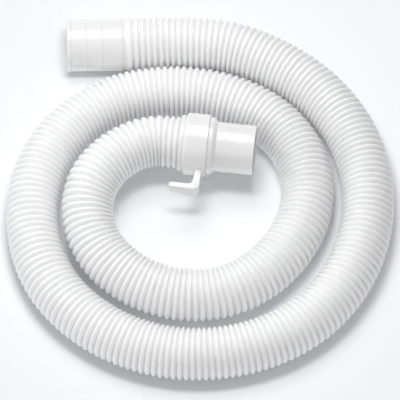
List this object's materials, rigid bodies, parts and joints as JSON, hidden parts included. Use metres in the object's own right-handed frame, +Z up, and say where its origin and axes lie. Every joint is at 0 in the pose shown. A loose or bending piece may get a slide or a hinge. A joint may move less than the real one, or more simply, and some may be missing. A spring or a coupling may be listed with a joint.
{
  "type": "pool vacuum hose",
  "caption": "Ribbed plastic vacuum hose in a loose flat coil, with a plain cuff at one end and a swivel cuff with a lever-turned lock collar at the other.",
  "frame": {"origin": "centre of the plain cuff's mouth, half a hose diameter above the floor", "axes": "-X out of the plain cuff's mouth, +X along the cuff into the hose, +Z up from the floor that the coil lies on"},
  "size_m": [0.3343, 0.3439, 0.0747],
  "materials": {
    "hose_plastic": "white ribbed polyethylene, satin to glossy",
    "cuff_plastic": "white moulded plastic, glossy",
    "collar_plastic": "white moulded plastic, glossy",
    "lever_plastic": "white moulded plastic, glossy",
    "ring_metal": "plain spring steel",
    "seal_rubber": "matt black rubber"
  },
  "bodies": {
    "hose": {"hose_coil": "hose_plastic", "plain_cuff": "cuff_plastic"},
    "hose_end": {"hose_flex": "hose_plastic", "hose_sleeve": "cuff_plastic", "split_ring": "ring_metal"},
    "lock": {"lock_collar": "collar_plastic", "lock_lever": "lever_plastic"},
    "swivel": {"swivel_cuff": "cuff_plastic", "seal_ring": "seal_rubber"}
  },
  "joints": [
    {"name": "end_lift", "type": "hinge", "parent": "hose", "child": "hose_end", "pos_m": [0.0415, -0.11678, 0.02437], "axis": [-0.1409, -0.99, 0], "range_deg": [0, 40], "deforming": ["hose_flex"]},
    {"name": "lock_turn", "type": "hinge", "parent": "hose_end", "child": "lock", "pos_m": [0.094, -0.1075, 0.025], "axis": [-0.99, 0.1409, 0], "range_deg": [0, 90]},
    {"name": "cuff_swivel", "type": "hinge", "parent": "hose_end", "child": "swivel", "pos_m": [0.094, -0.1075, 0.025], "axis": [0.99, -0.1409, 0], "continuous": true}
  ]
}
